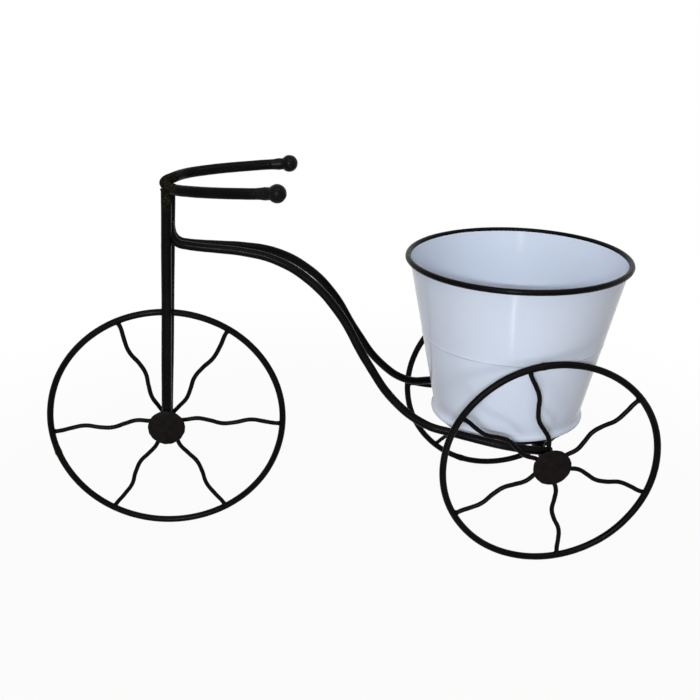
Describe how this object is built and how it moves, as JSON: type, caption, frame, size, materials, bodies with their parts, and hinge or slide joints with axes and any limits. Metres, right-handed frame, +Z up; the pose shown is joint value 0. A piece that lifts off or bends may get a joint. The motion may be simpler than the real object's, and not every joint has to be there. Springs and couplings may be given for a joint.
{
  "type": "bicycle planter",
  "caption": "Painted rod tricycle frame with wire-spoked turning wheels and a handlebar, carrying a tapered white metal bucket that lifts out to be planted.",
  "frame": {"origin": "on the floor plane, under the middle of the object's box", "axes": "+X points backwards along the planter, from the front wheel to the bucket; +Y points to the planter's right side; +Z is up"},
  "size_m": [0.5678, 0.2078, 0.3606],
  "materials": {
    "frame_paint": "satin black paint over welded round steel rod",
    "wheel_paint": "satin black paint, slightly uneven over hand-bent rod",
    "cap_paint": "matt brown-black paint over a rough pressed cap",
    "ball_paint": "glossy black paint",
    "bucket_enamel": "glossy white enamel with a cool tint",
    "bead_paint": "glossy black enamel"
  },
  "bodies": {
    "frame": {"fork_leg_left": "frame_paint", "fork_leg_right": "frame_paint", "front_axle": "frame_paint", "front_axle_left_cap": "cap_paint", "front_axle_right_cap": "cap_paint", "handlebar": "frame_paint", "handlebar_ball_left": "ball_paint", "handlebar_ball_right": "ball_paint", "backbone_rod_left": "frame_paint", "backbone_rod_right": "frame_paint", "rear_axle": "frame_paint", "rear_axle_left_cap": "cap_paint", "rear_axle_right_cap": "cap_paint", "bucket_seat_ring": "frame_paint"},
    "front_wheel": {"front_wheel_rim": "wheel_paint", "front_wheel_hub": "wheel_paint", "front_wheel_spoke_1": "wheel_paint", "front_wheel_spoke_2": "wheel_paint", "front_wheel_spoke_3": "wheel_paint", "front_wheel_spoke_4": "wheel_paint", "front_wheel_spoke_5": "wheel_paint", "front_wheel_spoke_6": "wheel_paint"},
    "rear_left_wheel": {"rear_left_wheel_rim": "wheel_paint", "rear_left_wheel_hub": "wheel_paint", "rear_left_wheel_spoke_1": "wheel_paint", "rear_left_wheel_spoke_2": "wheel_paint", "rear_left_wheel_spoke_3": "wheel_paint", "rear_left_wheel_spoke_4": "wheel_paint", "rear_left_wheel_spoke_5": "wheel_paint", "rear_left_wheel_spoke_6": "wheel_paint"},
    "rear_right_wheel": {"rear_right_wheel_rim": "wheel_paint", "rear_right_wheel_hub": "wheel_paint", "rear_right_wheel_spoke_1": "wheel_paint", "rear_right_wheel_spoke_2": "wheel_paint", "rear_right_wheel_spoke_3": "wheel_paint", "rear_right_wheel_spoke_4": "wheel_paint", "rear_right_wheel_spoke_5": "wheel_paint", "rear_right_wheel_spoke_6": "wheel_paint"},
    "bucket": {"bucket_wall": "bucket_enamel", "bucket_floor": "bucket_enamel", "bucket_rim_bead": "bead_paint"}
  },
  "joints": [
    {"name": "front_wheel_spin", "type": "hinge", "parent": "frame", "child": "front_wheel", "pos_m": [-0.1687, 0, 0.1152], "axis": [0, 1, 0], "continuous": true},
    {"name": "rear_left_wheel_spin", "type": "hinge", "parent": "frame", "child": "rear_left_wheel", "pos_m": [0.1819, -0.09188, 0.102], "axis": [0, 1, 0], "continuous": true},
    {"name": "rear_right_wheel_spin", "type": "hinge", "parent": "frame", "child": "rear_right_wheel", "pos_m": [0.1819, 0.09188, 0.102], "axis": [0, 1, 0], "continuous": true},
    {"name": "bucket_lift", "type": "slide", "parent": "frame", "child": "bucket", "axis": [0, 0, 1], "range_m": [0, 0.2]}
  ]
}
